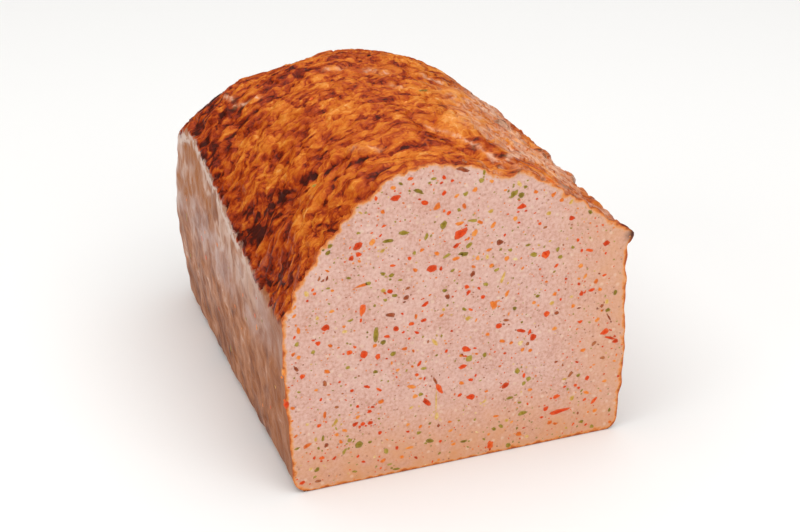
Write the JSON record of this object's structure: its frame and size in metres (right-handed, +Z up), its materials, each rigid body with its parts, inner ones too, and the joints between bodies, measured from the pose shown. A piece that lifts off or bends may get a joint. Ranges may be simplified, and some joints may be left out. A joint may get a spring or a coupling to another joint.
{
  "type": "meatloaf",
  "caption": "Half of a tin-baked meatloaf: a block with a flat base, near-upright walls, a high domed browned top and a flat cut face with bits of pepper.",
  "frame": {"origin": "middle of the base, on the surface the loaf stands on", "axes": "+Z up, -Y out of the flat cut face, +Y towards the rounded end, +X to the right as the cut face is looked at"},
  "size_m": [0.122, 0.174, 0.1094],
  "materials": {
    "meat": "moist fine-grained pink-beige cooked meat under a glossy golden to dark brown baked crust",
    "red_pepper": "moist soft red pepper dice",
    "orange_pepper": "moist soft orange pepper dice",
    "yellow_pepper": "moist soft yellow pepper dice",
    "green_pepper": "moist soft olive green pepper dice",
    "dark_bits": "dark brown specks of spice and cured meat"
  },
  "bodies": {
    "root": {"meatloaf": "meat"}
  },
  "joints": []
}
